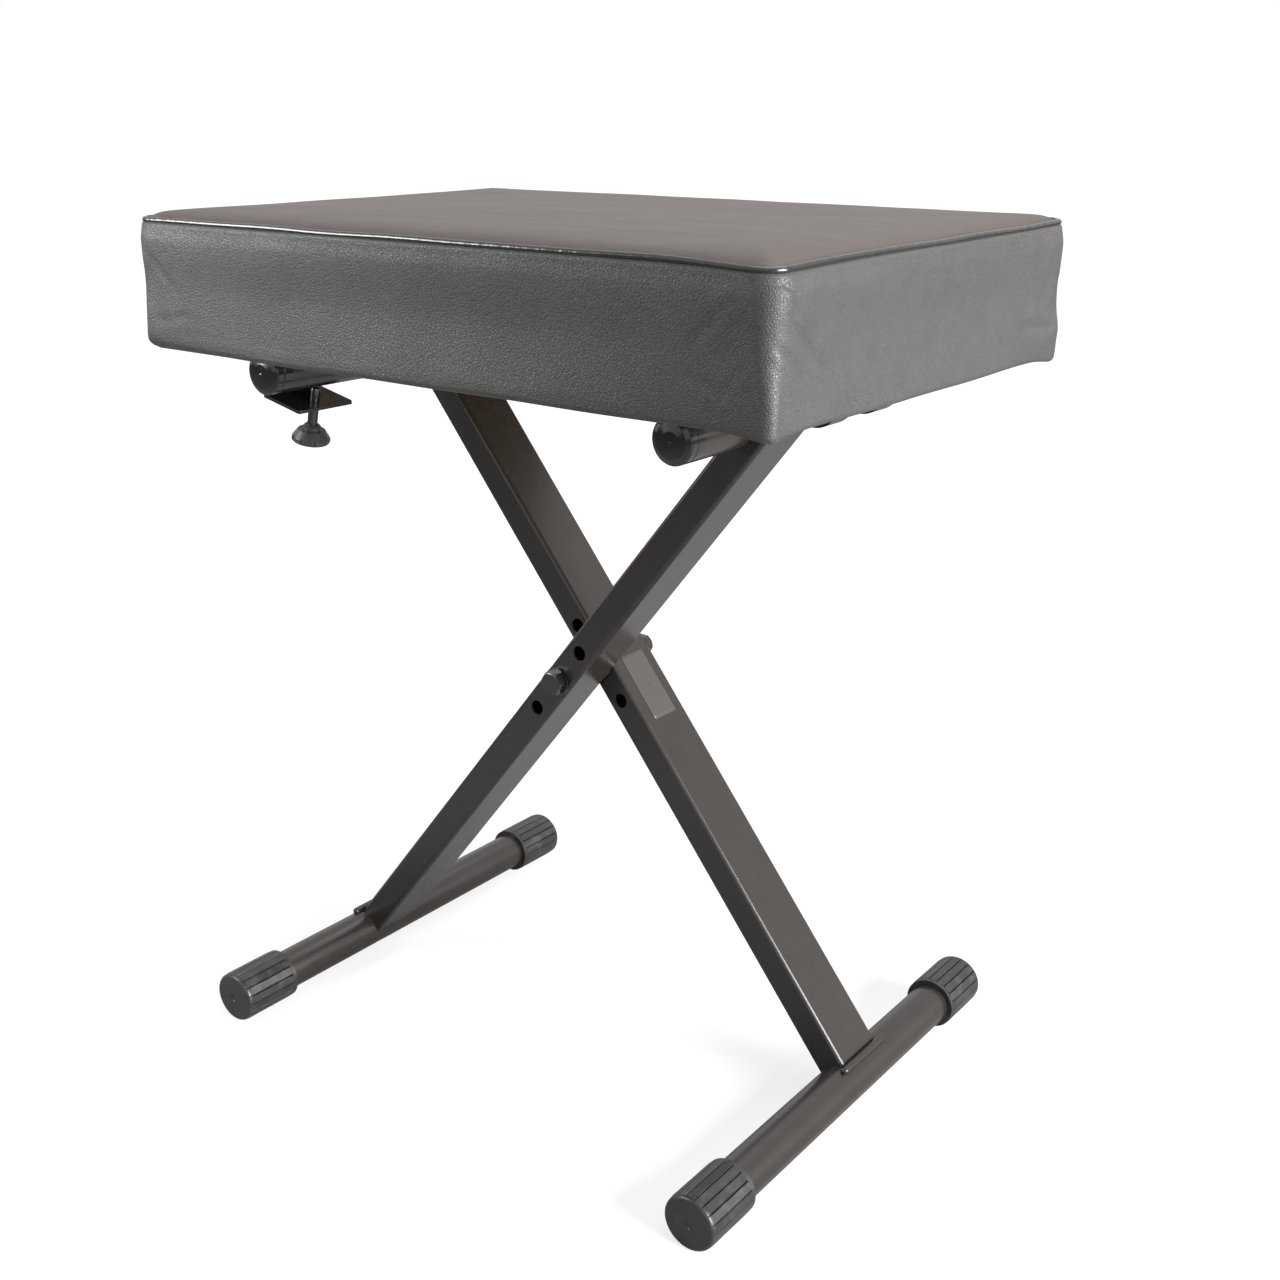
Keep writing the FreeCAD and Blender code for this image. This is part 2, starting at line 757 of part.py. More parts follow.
def seat_end():
    """Half the seat's length: the clamp's upper flange fits inside its -X end."""
    return size("seat_overhang") - clamp_foot_x()


def board():
    owner = body("seat_board")
    half_x = seat_end() - size("board_inset")
    half_y = size("seat_width") / 2 - size("board_inset")
    r = size("seat_low_corner")
    plan = sketch(owner, "board_plan", "XY_Plane", underside)
    draw(plan, [(-half_x, -half_y, r), (half_x, -half_y, r), (half_x, half_y, r),
                (-half_x, half_y, r)])
    pad(owner, "board_slab", plan, size("board_thickness"))
    holes = sketch(owner, "board_holes", "XY_Plane", underside)
    seats = sketch(owner, "board_nut_seats", "XY_Plane", board_top)
    for across, up in fastening_points():
        ring(holes, across, up, size("tee_barrel_radius") + clearance)
        ring(seats, across, up, size("tee_radius") + clearance)
    pocket_through(owner, "board_drilling", holes)
    pocket(owner, "board_recesses", seats, size("tee_thickness") + clearance)
    keep(owner, "seat_board")


def group(name, things):
    keep(fuse(name, *things), name)


def tee_nuts():
    """Nuts pressed into the board from above, with the screws' bores."""
    nuts = []
    bottom = board_top - size("tee_thickness")
    for number, (across, up) in enumerate(fastening_points(), 1):
        name = f"tee_nut_{number}"
        flange = cylinder(name + "_flange", size("tee_radius"), size("tee_thickness"),
                          (across, up, bottom), Z_AXIS, 0)
        barrel = cylinder(name + "_barrel", size("tee_barrel_radius"), size("tee_length"),
                          (across, up, board_top - size("tee_length")), Z_AXIS, 0)
        bore = cylinder(name + "_bore", size("screw_radius") + clearance,
                        size("board_thickness") * 2, (across, up, underside), Z_AXIS, 0)
        nuts.append(cut(name, fuse(name + "_blank", flange, barrel), bore))
    group("tee_nuts", nuts)


def board_screw(name, point, grip):
    """A pan head screw from below, through a grip thickness into the board."""
    across, up = point
    head_height = size("screw_head_height")
    seat_z = underside - grip
    head = cylinder(name + "_head", size("screw_head_radius"), head_height,
                    (across, up, seat_z - head_height), Z_AXIS, 0)
    shank = cylinder(name + "_shank", size("screw_radius"),
                     grip + size("board_thickness") - size("tee_thickness"),
                     (across, up, seat_z - 1), Z_AXIS, 0)
    return fuse(name, head, shank)


def screws():
    points = fastening_points()
    straps = [board_screw(f"strap_screw_{number}", point, size("strap_thickness"))
              for number, point in enumerate(points[:4], 1)]
    group("strap_screws", straps)
    rests = [board_screw(f"rest_screw_{number}", point, size("block_ear"))
             for number, point in enumerate(points[4:6], 1)]
    group("rest_block_screws", rests)
    clamps = [board_screw(f"clamp_board_screw_{number}", point, size("clamp_thickness"))
              for number, point in enumerate(points[6:], 1)]
    group("clamp_bracket_screws", clamps)


def hinge_strap(name, position):
    """A steel strap that goes round the hinge tube and up to the board."""
    inner = tube_radius + clearance
    outer = inner + size("strap_thickness")
    owner = body(name)
    section = sketch(owner, name + "_section", "XZ_Plane")
    top = underside - hinge_z
    flange = outer + size("strap_flange")
    low = top - size("strap_thickness")
    draw(section, [(-flange, low), (-outer, low), (-outer, -outer, outer - 0.01),
                   (outer, -outer, outer - 0.01), (outer, low), (flange, low),
                   (flange, top), (inner, top), (inner, -inner, inner - 0.01),
                   (-inner, -inner, inner - 0.01), (-inner, top), (-flange, top)])
    pad(owner, name + "_band", section, size("strap_width"), both_sides=True)
    holes = sketch(owner, name + "_holes", "XY_Plane", low)
    for sign in (-1, 1):
        ring(holes, sign * size("screw_offset"), 0, size("screw_radius") + clearance)
    pocket_through(owner, name + "_drilling", holes)
    keep(place(owner, (hinge_x, size(position), hinge_z)), name)


def hinge_block(name, position, ears):
    """A moulded block between the board and the hinge tube."""
    inner = tube_radius + clearance
    half = inner - clearance * 2
    top = underside - hinge_z
    low = size("block_grip")
    owner = body(name)
    section = sketch(owner, name + "_section", "XZ_Plane")
    if ears:
        reach = half + size("strap_flange")
        step = top - size("block_ear")
        draw(section, [(-half, low), (half, low), (half, step), (reach, step),
                       (reach, top), (-reach, top), (-reach, step), (-half, step)])
    else:
        draw(section, [(-half, low), (half, low), (half, top), (-half, top)])
    pad(owner, name + "_blank", section, size("strap_width"), both_sides=True)
    groove = sketch(owner, name + "_groove_shape", "XZ_Plane")
    ring(groove, 0, 0, inner)
    pocket_through(owner, name + "_groove", groove)
    if ears:
        holes = sketch(owner, name + "_holes", "XY_Plane", top)
        for sign in (-1, 1):
            ring(holes, sign * size("screw_offset"), 0, size("screw_radius") + clearance)
        pocket_through(owner, name + "_drilling", holes)
    keep(place(owner, (hinge_x, size(position), hinge_z)), name)


def staples():
    """Staples that hold the turned-in cover to the board, crowns flat on it."""
    pitch = float(sheet.get("staple_pitch"))
    width = float(sheet.get("staple_width"))
    wire = float(sheet.get("staple_wire"))
    depth = float(sheet.get("staple_depth"))
    inset = float(sheet.get("cover_margin")) * 0.6
    half_x = seat_end().number - inset
    half_y = float(sheet.get("seat_width")) / 2 - inset
    low = cover_bottom.number - wire
    solids = []
    for half_long, half_short, quarter in ((half_x, half_y, 0), (half_y, half_x, 1)):
        run = half_long - pitch / 2
        count = int(2 * run // pitch)
        for step in range(count + 1):
            along = -run + 2 * run * step / count
            for sign in (-1, 1):
                middle = rotated(V(along, sign * half_short, 0), quarter)
                solids.append(staple(middle, quarter, low, width, wire, depth))
    shaped("cover_staples", Part.makeCompound(solids))


def staple(middle, quarter, low, width, wire, depth):
    """One staple: a crown and two legs that go up into the board."""
    crown = Part.makeBox(width, wire, wire, V(-width / 2, -wire / 2, 0))
    for end in (-width / 2, width / 2 - wire):
        crown = crown.fuse(Part.makeBox(wire, wire, depth, V(end, -wire / 2, 0)))
    crown = crown.removeSplitter()
    crown.rotate(V(0, 0, 0), Z_AXIS, 90 * quarter)
    crown.translate(V(middle.x, middle.y, low))
    return crown


def clamp_bracket():
    """A bent plate: upper flange on the board, web beside the rest tube, and a
    sloping lower flange under it, open towards the middle of the bench."""
    thickness, tilt, lip = size("clamp_thickness"), size("clamp_tilt"), size("clamp_lip")
    slope = sine(tilt) / cosine(tilt)
    web_x, top = clamp_web_x(), underside
    axis_x, _, axis_z = clamp_point(size("clamp_throat"))
    below_x, _, below_z = clamp_point(size("clamp_throat") + thickness)
    inside = web_x + thickness
    lip_x = axis_x + lip * cosine(tilt)
    bend = body("clamp_bracket_bend")
    section = sketch(bend, "clamp_bracket_section", "XZ_Plane")
    draw(section, [(clamp_foot_x(), top), (inside, top),
                   (inside, axis_z + (axis_x - inside) * slope),
                   (lip_x, axis_z - lip * sine(tilt)),
                   (below_x + lip * cosine(tilt), below_z - lip * sine(tilt)),
                   (web_x, below_z + (below_x - web_x) * slope),
                   (web_x, top - thickness), (clamp_foot_x(), top - thickness)])
    pad(bend, "clamp_bracket_bent_plate", section, size("clamp_width"), both_sides=True)
    place(bend, (0, size("clamp_position"), 0))
    half, r = size("clamp_width") / 2, size("clamp_corner")
    trim = body("clamp_bracket_trim")
    plan = sketch(trim, "clamp_bracket_plan", "XY_Plane", top)
    draw(plan, [(clamp_foot_x(), -half, r), (lip_x, -half, r), (lip_x, half, r),
                (clamp_foot_x(), half, r)])
    pad(trim, "clamp_bracket_corners", plan, size("clamp_throat") * 4, both_sides=True)
    place(trim, (0, size("clamp_position"), 0))
    plate = common("clamp_bracket_plate", bend, trim)
    drill = cylinder("clamp_screw_hole", size("clamp_screw_radius") + clearance,
                     thickness * 6, clamp_point(size("clamp_throat") + thickness * 3),
                     Y_AXIS, tilt)
    drills = [cylinder(f"clamp_board_hole_{number}", size("screw_radius") + clearance,
                       thickness * 3, (across, up, underside - thickness * 2), Z_AXIS, 0)
              for number, (across, up) in enumerate(fastening_points()[6:], 1)]
    keep(cut("clamp_bracket", plate, drill, *drills), "clamp_bracket")


def clamp_point(distance):
    """A point on the clamp screw's axis, that far below the rest tube's middle."""
    tilt = size("clamp_tilt")
    return (rest_x - distance * sine(tilt), size("clamp_position"),
            rest_z - distance * cosine(tilt))


def clamp_parts():
    """Weld nut, screw and knob on the clamp's sloping axis."""
    tilt = size("clamp_tilt")
    nut_height = size("clamp_nut_height")
    nut_bottom = size("clamp_throat") + size("clamp_thickness") + nut_height
    nut = cylinder("clamp_nut_disc", size("clamp_nut_radius"), nut_height,
                   clamp_point(nut_bottom), Y_AXIS, tilt)
    bore = cylinder("clamp_nut_bore", size("clamp_screw_radius") + clearance, nut_height * 3,
                    clamp_point(nut_bottom + nut_height), Y_AXIS, tilt)
    keep(cut("clamp_weld_nut", nut, bore), "clamp_weld_nut")
    radius = size("clamp_screw_radius")
    knob_end = size("knob_distance") + size("knob_hub_height") + size("knob_height")
    tip = tube_radius + size("clamp_tip_gap")
    length = knob_end - tip - size("knob_height") / 2
    outline = [(0, 0), (radius, 0), (radius, length - radius * 0.9),
               (radius * 0.8, length - radius * 0.4), (radius * 0.45, length - radius * 0.1),
               (0, length)]
    screw = turned("clamp_screw", outline, clamp_point(tip + length), Y_AXIS, tilt)
    keep(screw, "clamp_screw")
    knob_z = size("knob_height")
    top = knob_z + size("knob_hub_height")
    bore_radius = radius + clearance
    half = knob_z / 2
    edge = size("knob_rim_height")
    outline = [(0, 0), (size("knob_radius") - 1, 0), (size("knob_radius"), 1),
               (size("knob_radius"), edge), (size("knob_top_radius"), knob_z),
               (size("knob_hub_radius"), knob_z), (size("knob_hub_radius"), top - 0.8),
               (size("knob_hub_radius") - 0.8, top), (bore_radius, top),
               (bore_radius, half - clearance), (0, half - clearance)]
    knob = turned("clamp_knob", outline, clamp_point(knob_end), Y_AXIS, tilt)
    notch = sketch(knob, "knob_notch_shape", "XY_Plane")
    ring(notch, size("knob_radius") + size("knob_notch_radius") / 2, 0,
         size("knob_notch_radius"))
    first = pocket(knob, "knob_notch", notch, edge + 1, upside=True)
    polar_pattern(knob, "knob_notches", first, size("knob_notch_count"))
    keep(knob, "clamp_knob")


frame(front=True)
frame(front=False)
pivot_fasteners()
board()
cushion()
staples()
tee_nuts()
screws()
hinge_strap("hinge_strap_near", "near_strap")
hinge_strap("hinge_strap_far", "far_strap")
hinge_block("hinge_block_near", "near_strap", ears=False)
hinge_block("hinge_block_far", "far_strap", ears=False)
hinge_block("hinge_rest_block", "rest_block", ears=True)
clamp_bracket()
clamp_parts()
doc.recompute()

# Nothing is written unless every object and every piece is sound
for item in doc.Objects:
    if "Invalid" in item.State or "Error" in item.State:
        raise RuntimeError(f"{item.Label} has failed: {item.State}")
for item in PIECES:
    if item.Shape.isNull() or not item.Shape.isValid() or not item.Shape.Solids:
        raise RuntimeError(f"{item.Label} has no sound shape")

os.makedirs("parts", exist_ok=True)
for item in PIECES:
    item.Shape.exportStep(f"parts/{item.Label}.step")
    print(item.Label, len(item.Shape.Solids), round(item.Shape.Volume, 1))
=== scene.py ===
import math

import bpy
import numpy as np
from mathutils import Matrix


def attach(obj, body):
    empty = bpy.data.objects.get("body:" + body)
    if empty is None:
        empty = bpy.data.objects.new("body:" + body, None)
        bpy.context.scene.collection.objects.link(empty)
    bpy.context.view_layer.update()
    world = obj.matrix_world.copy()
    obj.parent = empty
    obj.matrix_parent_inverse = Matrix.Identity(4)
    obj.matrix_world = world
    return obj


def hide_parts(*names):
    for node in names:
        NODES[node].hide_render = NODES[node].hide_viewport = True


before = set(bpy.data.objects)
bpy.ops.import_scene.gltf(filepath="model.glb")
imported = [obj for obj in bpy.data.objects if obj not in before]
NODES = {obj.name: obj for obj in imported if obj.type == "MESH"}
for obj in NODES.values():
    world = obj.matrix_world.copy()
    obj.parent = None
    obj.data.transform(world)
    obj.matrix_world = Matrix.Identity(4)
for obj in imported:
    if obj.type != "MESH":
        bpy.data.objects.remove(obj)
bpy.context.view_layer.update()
MM = 0.001


# Camera.

def place_camera():
    """The photograph's camera: it stands to the right of the bench's near side
    and looks down on it, with a square frame 43.8 degrees wide."""
    data = bpy.data.cameras.new("camera")
    data.sensor_width = 36.0
    data.lens = 44.825
    camera = bpy.data.objects.new("camera", data)
    turn = (Matrix.Translation((0.5704, -0.7134, 0.5694))
            @ Matrix.Rotation(math.radians(37.063), 4, "Z")
            @ Matrix.Rotation(math.radians(90 - 18.913), 4, "X")
            @ Matrix.Rotation(math.radians(0.194), 4, "Z"))
    camera.matrix_world = turn
    bpy.context.collection.objects.link(camera)
    bpy.context.scene.camera = camera


# Shader maths.

class Signal:
    """A socket that can be used in plain arithmetic."""

    def __init__(self, finish, socket):
        self.finish = finish
        self.socket = socket

    def combine(self, operation, first, second):
        return self.finish.node("ShaderNodeMath", {"operation": operation},
                                {0: first, 1: second})

    def __add__(self, other):
        return self.combine("ADD", self, other)

    def __radd__(self, other):
        return self.combine("ADD", other, self)

    def __sub__(self, other):
        return self.combine("SUBTRACT", self, other)

    def __rsub__(self, other):
        return self.combine("SUBTRACT", other, self)

    def __mul__(self, other):
        return self.combine("MULTIPLY", self, other)

    def above(self, low, high):
        """0 below low and 1 above high, with a soft step between them."""
        return self.finish.node("ShaderNodeMapRange", {"interpolation_type": "SMOOTHSTEP"},
                                {"Value": self, "From Min": low, "From Max": high})


class Finish:
    """A material: one Principled shader and the nodes that feed it."""

    def __init__(self, name, colour, roughness, metallic=0.0, **fixed):
        self.material = bpy.data.materials.new(name)
        self.material.use_nodes = True
        self.tree = self.material.node_tree
        self.shader = self.tree.nodes["Principled BSDF"]
        self.put("Base Color", (*colour, 1.0))
        self.put("Roughness", roughness)
        self.put("Metallic", metallic)
        for words, value in fixed.items():
            self.put(words.replace("_", " ").title().replace("Ior", "IOR"), value)
        coordinates = self.tree.nodes.new("ShaderNodeTexCoord")
        self.place = Signal(self, coordinates.outputs["Object"])

    def put(self, socket_name, value):
        socket = self.shader.inputs[socket_name]
        if isinstance(value, Signal):
            self.tree.links.new(value.socket, socket)
        else:
            socket.default_value = value

    def node(self, kind, settings=None, values=None, output=0):
        """Any node: its settings come first, then the values or links of its sockets."""
        made = self.tree.nodes.new(kind)
        for key, value in (settings or {}).items():
            setattr(made, key, value)
        for key, value in (values or {}).items():
            if isinstance(value, Signal):
                self.tree.links.new(value.socket, made.inputs[key])
            else:
                made.inputs[key].default_value = value
        return Signal(self, made.outputs[output])

    def stretched(self, x, y, z, turn=0.0):
        """The place on the piece, turned about Z and scaled along each axis."""
        return self.node("ShaderNodeMapping", {"vector_type": "POINT"},
                         {"Vector": self.place, "Scale": (x, y, z),
                          "Rotation": (0.0, 0.0, turn)})

    def noise(self, scale, detail=3.0, roughness=0.5, where=None, distortion=0.0):
        return self.node("ShaderNodeTexNoise", {},
                         {"Vector": where or self.place, "Scale": scale, "Detail": detail,
                          "Roughness": roughness, "Distortion": distortion})

    def cells(self, scale, feature, where):
        return self.node("ShaderNodeTexVoronoi", {"feature": feature},
                         {"Vector": where, "Scale": scale})

    def blend(self, share, low, high):
        """A colour between two others."""
        values = {"Factor": share, 6: (*low, 1.0), 7: (*high, 1.0)}
        return self.node("ShaderNodeMix", {"data_type": "RGBA"}, values, output=2)

    def warped(self, amount, scale):
        """The place on the piece, shifted about by a noise."""
        drift = self.node("ShaderNodeTexNoise", {}, {"Vector": self.place, "Scale": scale},
                          output=1)
        centred = self.node("ShaderNodeVectorMath", {"operation": "SUBTRACT"},
                            {0: drift, 1: (0.5, 0.5, 0.5)})
        small = self.node("ShaderNodeVectorMath", {"operation": "SCALE"},
                          {0: centred, "Scale": amount})
        return self.node("ShaderNodeVectorMath", {"operation": "ADD"},
                         {0: self.place, 1: small})

    def bump(self, height, depth, strength=1.0):
        """Raises the surface by up to depth, in metres, where height is 1."""
        normal = self.node("ShaderNodeBump", {},
                           {"Height": height, "Distance": depth, "Strength": strength})
        self.put("Normal", normal)


def powder_coat(name, colour, roughness):
    """Black powder coat: a fine orange peel, a faint cloudiness and a little dust."""
    finish = Finish(name, colour, roughness, specular_ior_level=0.55)
    cloud = finish.noise(38.0, 4.0)
    speck = finish.noise(2600.0, 2.0).above(0.62, 0.72)
    pale = tuple(part * 1.45 + 0.004 for part in colour)
    finish.put("Base Color", finish.blend(cloud * 0.55 + speck * 0.35, colour, pale))
    finish.put("Roughness", roughness - 0.05 + cloud * 0.09 + speck * 0.10)
    peel = finish.noise(1500.0, 2.0) * 0.7 + finish.noise(520.0, 1.0) * 0.6
    finish.bump(peel, 0.00006, 0.55)
    return finish.material


def side_leatherette():
    """Black leatherette with a rounded pebble grain: flat-topped cells between
    narrow valleys, over a slower unevenness."""
    base = (0.058, 0.058, 0.057)
    finish = Finish("side_leatherette", base, 0.46, specular_ior_level=0.42)
    where = finish.warped(0.0012, 520.0)
    pebble = finish.cells(780.0, "SMOOTH_F1", where)
    valley = finish.cells(780.0, "DISTANCE_TO_EDGE", where).above(0.0, 0.16)
    fine = finish.noise(2400.0, 2.0)
    slow = finish.noise(70.0, 3.0)
    height = (1 - pebble) * 0.55 + valley * 0.5 + fine * 0.10
    finish.bump(height, 0.00030, 0.6)
    finish.put("Roughness", 0.54 - valley * 0.16 + slow * 0.08)
    # Painted shade: the colour is darker in the grain's valleys and lighter on the pebble tops,
    # and also varies at random with a slow noise.
    valley_shade_and_tone = valley * 0.6 + slow * 0.5
    finish.put("Base Color", finish.blend(valley_shade_and_tone, (0.022, 0.022, 0.022), (0.054, 0.053, 0.051)))
    return finish.material


def top_leatherette():
    """The top panel's smoother, slightly brown leatherette, with faint streaks
    along the bench where hands and cloths have rubbed it."""
    base = (0.044, 0.036, 0.034)
    finish = Finish("top_leatherette", base, 0.46, specular_ior_level=0.6)
    streak = finish.noise(1.0, 5.0, 0.6, finish.stretched(7.0, 80.0, 60.0, 0.16))
    smear = finish.noise(1.0, 4.0, 0.55, finish.stretched(30.0, 240.0, 90.0, 0.22))
    where = finish.warped(0.0010, 700.0)
    grain = finish.cells(900.0, "DISTANCE_TO_EDGE", where).above(0.0, 0.18)
    mixed = streak * 0.75 + smear * 0.4 - 0.08
    finish.put("Base Color", finish.blend(mixed, (0.030, 0.019, 0.016), (0.064, 0.043, 0.036)))
    finish.put("Roughness", 0.36 + streak * 0.20 + smear * 0.08)
    finish.bump(grain * 0.6 + finish.noise(3000.0, 2.0) * 0.3, 0.00014, 0.5)
    return finish.material


def piping_vinyl():
    """Glossy black vinyl piping with shallow puckers from its stitches."""
    finish = Finish("piping_vinyl", (0.010, 0.010, 0.010), 0.17, specular_ior_level=0.7)
    dull = finish.noise(190.0, 3.0)
    finish.put("Roughness", 0.11 + dull * 0.15)
    finish.bump(finish.noise(260.0, 2.0), 0.0004, 0.5)
    return finish.material


def foot_rubber():
    """Black rubber: matt, a little dusty, paler where it has scuffed."""
    finish = Finish("foot_rubber", (0.020, 0.020, 0.020), 0.42, specular_ior_level=0.5)
    dust = finish.noise(120.0, 6.0, 0.65).above(0.44, 0.74)
    scuff = finish.noise(900.0, 3.0, 0.6).above(0.58, 0.72)
    finish.put("Base Color", finish.blend(dust * 0.7 + scuff * 0.35, (0.016, 0.016, 0.016),
                                          (0.042, 0.041, 0.040)))
    finish.put("Roughness", 0.34 + dust * 0.18)
    finish.bump(finish.noise(1400.0, 3.0), 0.00007, 0.6)
    return finish.material


def plug_plastic():
    """Polished black plastic with faint moulding swirls."""
    finish = Finish("plug_plastic", (0.012, 0.012, 0.012), 0.13, specular_ior_level=0.6)
    swirl = finish.noise(60.0, 4.0, 0.6, distortion=1.5)
    finish.put("Roughness", 0.08 + swirl * 0.12)
    finish.bump(swirl, 0.00025, 0.35)
    return finish.material


def moulded_nylon(name, colour, roughness):
    """Black moulded plastic with a fine spark-eroded texture."""
    finish = Finish(name, colour, roughness)
    fine = finish.noise(3200.0, 2.0)
    cloud = finish.noise(90.0, 3.0)
    pale = tuple(part * 1.6 for part in colour)
    finish.put("Base Color", finish.blend(cloud, colour, pale))
    finish.put("Roughness", roughness - 0.06 + cloud * 0.12)
    finish.bump(fine, 0.00006, 0.6)
    return finish.material


def plated_steel(name, colour, roughness):
    """Plated steel: brushed along its length, with small dark specks."""
    finish = Finish(name, colour, roughness, 1.0)
    brushed = finish.noise(1.0, 3.0, 0.5, finish.stretched(300.0, 300.0, 2600.0))
    speck = finish.noise(1700.0, 3.0, 0.6).above(0.60, 0.70)
    dark = tuple(part * 0.5 for part in colour)
    finish.put("Base Color", finish.blend(brushed * 0.35 + speck * 0.5, colour, dark))
    finish.put("Roughness", roughness - 0.06 + brushed * 0.14 + speck * 0.15)
    finish.bump(brushed, 0.00004, 0.5)
    return finish.material


def plywood():
    """The board's plain plywood: long grain with darker bands."""
    finish = Finish("plywood", (0.45, 0.31, 0.18), 0.62)
    where = finish.stretched(14.0, 150.0, 150.0)
    grain = finish.noise(1.0, 6.0, 0.62, where, 0.6)
    pore = finish.noise(1.0, 2.0, 0.5, finish.stretched(90.0, 1900.0, 1900.0)).above(0.60, 0.70)
    finish.put("Base Color", finish.blend(grain * 1.1 + pore * 0.3 - 0.1,
                                          (0.56, 0.40, 0.25), (0.33, 0.21, 0.12)))
    finish.bump(grain + pore, 0.00008, 0.5)
    return finish.material


def label_film():
    """A blank self-adhesive label of dark grey film."""
    finish = Finish("label_film", (0.052, 0.048, 0.043), 0.34)
    finish.put("Roughness", 0.28 + finish.noise(200.0, 3.0) * 0.14)
    finish.bump(finish.noise(160.0, 2.0), 0.00008, 0.4)
    return finish.material


# Surfaces.

def surface(name, points, body, finish, closed_rows=False, closed_columns=True):
    """A mesh of quads over a grid of points, rows by columns by three, in
    millimetres. Closed rows or columns join the grid's last line to its first."""
    rows, columns = points.shape[:2]
    index = np.arange(rows * columns).reshape(rows, columns)
    if closed_rows:
        index = np.concatenate([index, index[:1]])
    if closed_columns:
        index = np.concatenate([index, index[:, :1]], axis=1)
    faces = np.stack([index[:-1, :-1], index[:-1, 1:], index[1:, 1:], index[1:, :-1]],
                     axis=-1).reshape(-1, 4)
    return piece(name, points.reshape(-1, 3), faces, body, finish)


def piece(name, points, faces, body, finish):
    """A finished object at the origin, made from points in millimetres."""
    mesh = bpy.data.meshes.new(name)
    mesh.vertices.add(len(points))
    mesh.vertices.foreach_set("co", (points * MM).astype(np.float32).ravel())
    size = faces.shape[1]
    mesh.loops.add(faces.size)
    mesh.loops.foreach_set("vertex_index", faces.astype(np.int32).ravel())
    mesh.polygons.add(len(faces))
    mesh.polygons.foreach_set("loop_start", np.arange(0, faces.size, size, dtype=np.int32))
    mesh.polygons.foreach_set("use_smooth", np.ones(len(faces), dtype=bool))
    mesh.update(calc_edges=True)
    mesh.validate()
    made = bpy.data.objects.new(name, mesh)
    bpy.context.collection.objects.link(made)
    made.data.materials.append(finish)
    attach(made, body)
    return made


class Outline:
    """The seat's rounded rectangle as columns of a grid. Each column is a share
    between two places on the corner arcs, so one set of columns serves every
    inset and corner radius."""

    def __init__(self, length, width, long_steps=168, short_steps=124, arc_steps=14):
        self.half = np.array([length / 2, width / 2])
        signs = np.array([[1, 1], [-1, 1], [-1, -1], [1, -1]], float)
        first, second, share, turn_a, turn_b = [], [], [], [], []
        for corner in range(4):
            steps = np.arange(arc_steps) / arc_steps
            turn = (corner + steps) * math.pi / 2
            first.append(np.repeat(signs[corner:corner + 1], arc_steps, 0))
            second.append(first[-1])
            share.append(np.zeros(arc_steps))
            turn_a.append(turn)
            turn_b.append(turn)
            count = long_steps if corner % 2 == 0 else short_steps
            steps = np.arange(count) / count
            first.append(np.repeat(signs[corner:corner + 1], count, 0))
            second.append(np.repeat(signs[(corner + 1) % 4][None], count, 0))
            share.append(steps)
            turn_a.append(np.full(count, (corner + 1) * math.pi / 2))
            turn_b.append(turn_a[-1])
        self.first, self.second = np.concatenate(first), np.concatenate(second)
        self.share = np.concatenate(share)
        self.turn = np.concatenate(turn_a)
        self.outward = np.stack([np.cos(self.turn), np.sin(self.turn)], -1)

    def points(self, inset, radius, draw_in=0.0):
        """Plan points for each row's inset and radius. Straight sides bow inwards
        by draw_in at their middles."""
        inset, radius, draw_in = (np.asarray(value, float).reshape(-1, 1, 1)
                                  for value in (inset, radius, draw_in))
        reach = self.half - inset - radius
        ends = [signs[None] * reach + radius * self.outward[None]
                for signs in (self.first, self.second)]
        share = self.share[None, :, None]
        bow = (1 - (2 * share - 1) ** 2) ** 1.5 * (share > 0)
        return ends[0] * (1 - share) + ends[1] * share - draw_in * bow * self.outward[None]

    def run(self):
        """Distance along the outline at each column, in millimetres."""
        plan = self.points(0.0, 10.0)[0]
        step = np.linalg.norm(np.roll(plan, -1, 0) - plan, axis=1)
        return np.concatenate([[0.0], np.cumsum(step)[:-1]]), step.sum()


def smooth_steps(knots, at):
    """A curve through (place, value) knots, eased by a cosine between each pair."""
    places = np.array([knot[0] for knot in knots], float)
    values = np.array([knot[1] for knot in knots], float)
    index = np.clip(np.searchsorted(places, at, side="right") - 1, 0, len(places) - 2)
    share = np.clip((at - places[index]) / (places[index + 1] - places[index]), 0, 1)
    eased = share * share * (3 - 2 * share)
    return values[index] * (1 - eased) + values[index + 1] * eased


def ripple(x, y, seed, waves, size):
    """A smooth unevenness: the sum of some waves in fixed chance directions."""
    chance = np.random.default_rng(seed)
    total = np.zeros(np.broadcast(x, y).shape)
    for _ in range(waves):
        turn, phase = chance.uniform(0, 2 * math.pi, 2)
        pitch = size * chance.uniform(0.6, 1.7)
        total += np.sin((x * math.cos(turn) + y * math.sin(turn)) * 2 * math.pi / pitch + phase)
    return total / waves ** 0.5


def crease(along, height, start, end, width, depth):
    """A fold line on a side: a narrow valley from start to end with a soft ridge
    on both its sides, fading out at its ends."""
    start, end = np.array(start, float), np.array(end, float)
    run = end - start
    length = np.hypot(*run)
    unit = run / length
    across = (along - start[0]) * -unit[1] + (height - start[1]) * unit[0]
    down = ((along - start[0]) * unit[0] + (height - start[1]) * unit[1]) / length
    fade = np.exp(-np.clip(np.abs(down - 0.5) * 2 - 0.6, 0, None) ** 2 / 0.08)
    valley = -np.exp(-(across / width) ** 2)
    ridge = 0.45 * np.exp(-((np.abs(across) - 1.7 * width) / (1.1 * width)) ** 2)
    return depth * fade * (valley + ridge)


# Seat.

SEAT = Outline(427.0, 299.0)
SIDE_LOW, SIDE_HIGH = 431.4, 500.9
PIPING_HEIGHT, PIPING_RADIUS = 502.36, 1.6
LOW_CORNER, HIGH_CORNER = 5.0, 13.0


def bell(value, width):
    """A soft bump, 1 at 0, that fades over so many millimetres."""
    return np.exp(-(value / width) ** 2)


